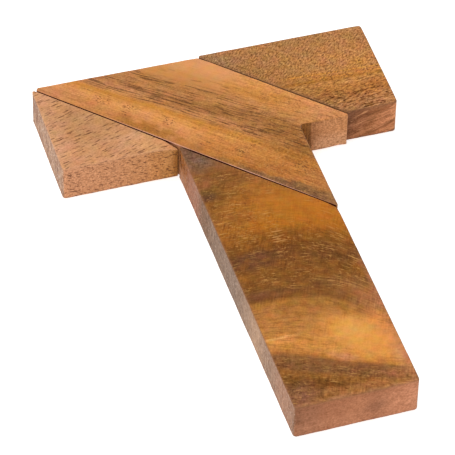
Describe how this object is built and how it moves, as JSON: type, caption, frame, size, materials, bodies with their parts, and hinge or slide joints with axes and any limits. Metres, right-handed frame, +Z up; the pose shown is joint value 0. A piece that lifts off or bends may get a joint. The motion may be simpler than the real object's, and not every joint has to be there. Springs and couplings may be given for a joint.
{
  "type": "wooden t puzzle",
  "caption": "Flat wooden dissection puzzle laid out solved as a capital T: loose blocks of one thickness cut from a strip with square and 45 degree cuts.",
  "frame": {"origin": "on the underside, where the centre line of the crossbar crosses the centre line of the stem, under the centre pentagon", "axes": "+X along the crossbar to the right, +Y along the stem away from its foot, +Z up from the table"},
  "size_m": [0.0855, 0.1193, 0.01],
  "materials": {
    "pentagon_wood": "satin",
    "triangle_wood": "satin",
    "right_wood": "satin",
    "stem_wood": "satin"
  },
  "bodies": {
    "pentagon": {"centre_pentagon": "pentagon_wood"},
    "triangle": {"left_triangle": "triangle_wood"},
    "right_block": {"right_trapezoid": "right_wood"},
    "stem": {"stem_trapezoid": "stem_wood"}
  },
  "joints": [
    {"name": "left_slide", "type": "slide", "parent": "pentagon", "child": "triangle", "axis": [-1, 0, 0], "range_m": [0, 0.045]},
    {"name": "right_slide", "type": "slide", "parent": "pentagon", "child": "right_block", "axis": [1, 0, 0], "range_m": [0, 0.045]},
    {"name": "stem_slide", "type": "slide", "parent": "pentagon", "child": "stem", "axis": [0, -1, 0], "range_m": [0, 0.045]}
  ]
}
